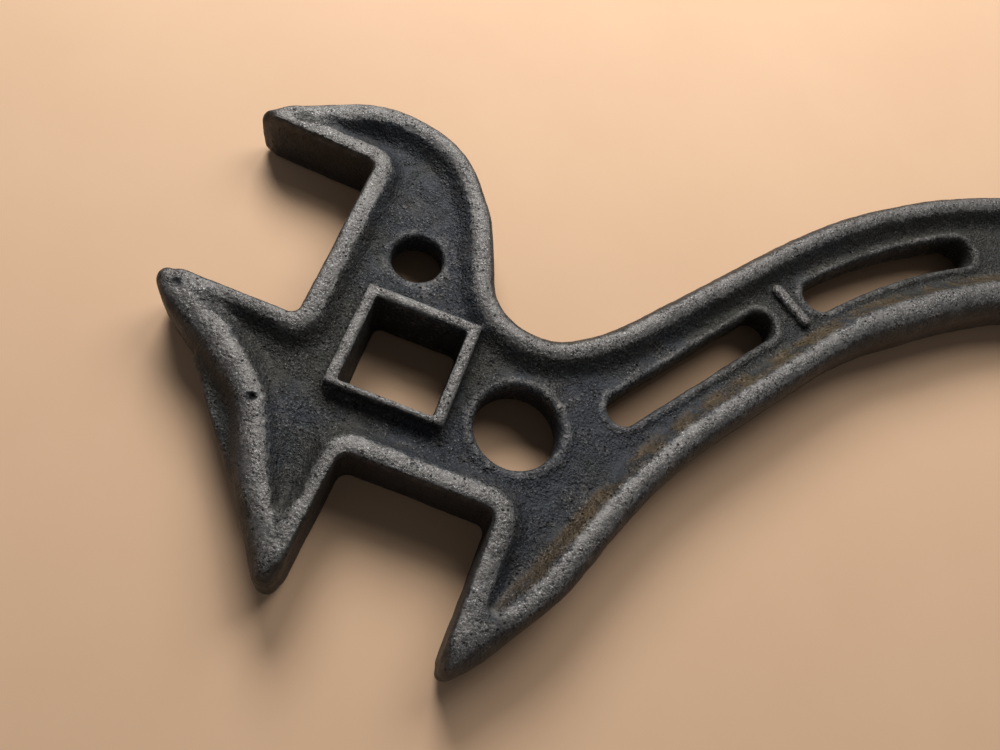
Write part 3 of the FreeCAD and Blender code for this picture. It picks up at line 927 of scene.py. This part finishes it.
# ------------------------------------------------------------- floor, light and camera
FLOOR_HALF = 2.5
FLOOR_PATCH = 40.0
PAPER, PALE_PAPER = linear(203, 167, 134), linear(212, 178, 146)
FLOOR_ROUGHNESS = 0.85
floor_mesh = bpy.data.meshes.new("floor")
corners = [(x * FLOOR_HALF, y * FLOOR_HALF, 0) for x, y in ((-1, -1), (1, -1), (1, 1), (-1, 1))]
floor_mesh.from_pydata(corners, [], [(0, 1, 2, 3)])
floor = bpy.data.objects.new("floor", floor_mesh)
bpy.context.scene.collection.objects.link(floor)
floor.location.z = low.z
paper = Nodes("pale_floor")
spot = paper.place()
blotches = paper.noise(spot, FLOOR_PATCH, detail=5.0, roughness=0.6)
tone = paper.mix(blotches, PAPER, PALE_PAPER)
paper.link(tone, paper.shader.inputs["Base Color"])
paper.shader.inputs["Roughness"].default_value = FLOOR_ROUGHNESS
floor_mesh.materials.append(paper.material)


def aim(thing, place, target, roll=0.0):
    """Point a lamp or camera from a place at a target, rolled about its line of sight."""
    back = (place - target).normalized()
    right = Vector((0, 0, 1)).cross(back).normalized()
    up = back.cross(right)
    turn = Matrix((right, up, back)).transposed().to_4x4()
    thing.matrix_world = Matrix.Translation(place) @ turn @ Matrix.Rotation(roll, 4, "Z")


def from_angles(azimuth, elevation, distance):
    """Offset at a compass angle from the -Y side and a height angle, both in degrees."""
    a, e = math.radians(azimuth), math.radians(elevation)
    return Vector((math.sin(a) * math.cos(e), -math.cos(a) * math.cos(e), math.sin(e))) * distance


def add_lamp(name, azimuth, elevation, distance, size, watts, colour):
    data = bpy.data.lights.new(name, "AREA")
    data.shape = "DISK"
    data.size = size
    data.energy = watts
    data.color = colour
    lamp = bpy.data.objects.new(name, data)
    bpy.context.scene.collection.objects.link(lamp)
    aim(lamp, focus + from_angles(azimuth, elevation, distance), focus)


# The view is centred just to the right of the square socket, near the large hole.
focus = Vector((0.0174, 0.0059, MIDDLE * MM))
CAMERA_AZIMUTH = -3.03
CAMERA_ELEVATION = 63.73
CAMERA_ROLL = 23.91
CAMERA_DISTANCE = 0.1555
LENS = 29.76
SENSOR_WIDTH = 36.0
CLIP_START = 0.005

camera_data = bpy.data.cameras.new("camera")
camera_data.lens = LENS
camera_data.sensor_width = SENSOR_WIDTH
camera_data.clip_start = CLIP_START
camera = bpy.data.objects.new("camera", camera_data)
bpy.context.scene.collection.objects.link(camera)
aim(camera, focus + from_angles(CAMERA_AZIMUTH, CAMERA_ELEVATION, CAMERA_DISTANCE), focus,
    math.radians(CAMERA_ROLL))
bpy.context.scene.camera = camera

add_lamp("key", azimuth=-152, elevation=39, distance=0.48, size=0.24, watts=2.45,
         colour=(1.0, 0.98, 0.96))
add_lamp("right", azimuth=162, elevation=48, distance=0.42, size=0.26, watts=0.85,
         colour=(1.0, 0.98, 0.95))

# The room is brighter near the horizon than overhead. The heights are parts of a unit sphere.
ROOM_COLOUR = (0.97, 0.97, 1.0, 1.0)
HORIZON_END, OVERHEAD_START = 0.35, 0.8
HORIZON_GLOW, OVERHEAD_GLOW = 0.3, 0.05
world = bpy.data.worlds.new("studio")
bpy.context.scene.world = world
world.use_nodes = True
room = world.node_tree
background = room.nodes["Background"]
background.inputs["Color"].default_value = ROOM_COLOUR
direction = room.nodes.new("ShaderNodeTexCoord")
split = room.nodes.new("ShaderNodeSeparateXYZ")
fade = room.nodes.new("ShaderNodeMapRange")
fade.inputs["From Min"].default_value = HORIZON_END
fade.inputs["From Max"].default_value = OVERHEAD_START
fade.inputs["To Min"].default_value = HORIZON_GLOW
fade.inputs["To Max"].default_value = OVERHEAD_GLOW
room.links.new(direction.outputs["Generated"], split.inputs[0])
room.links.new(split.outputs["Z"], fade.inputs["Value"])
room.links.new(fade.outputs["Result"], background.inputs["Strength"])
bpy.context.scene.view_settings.view_transform = "Standard"
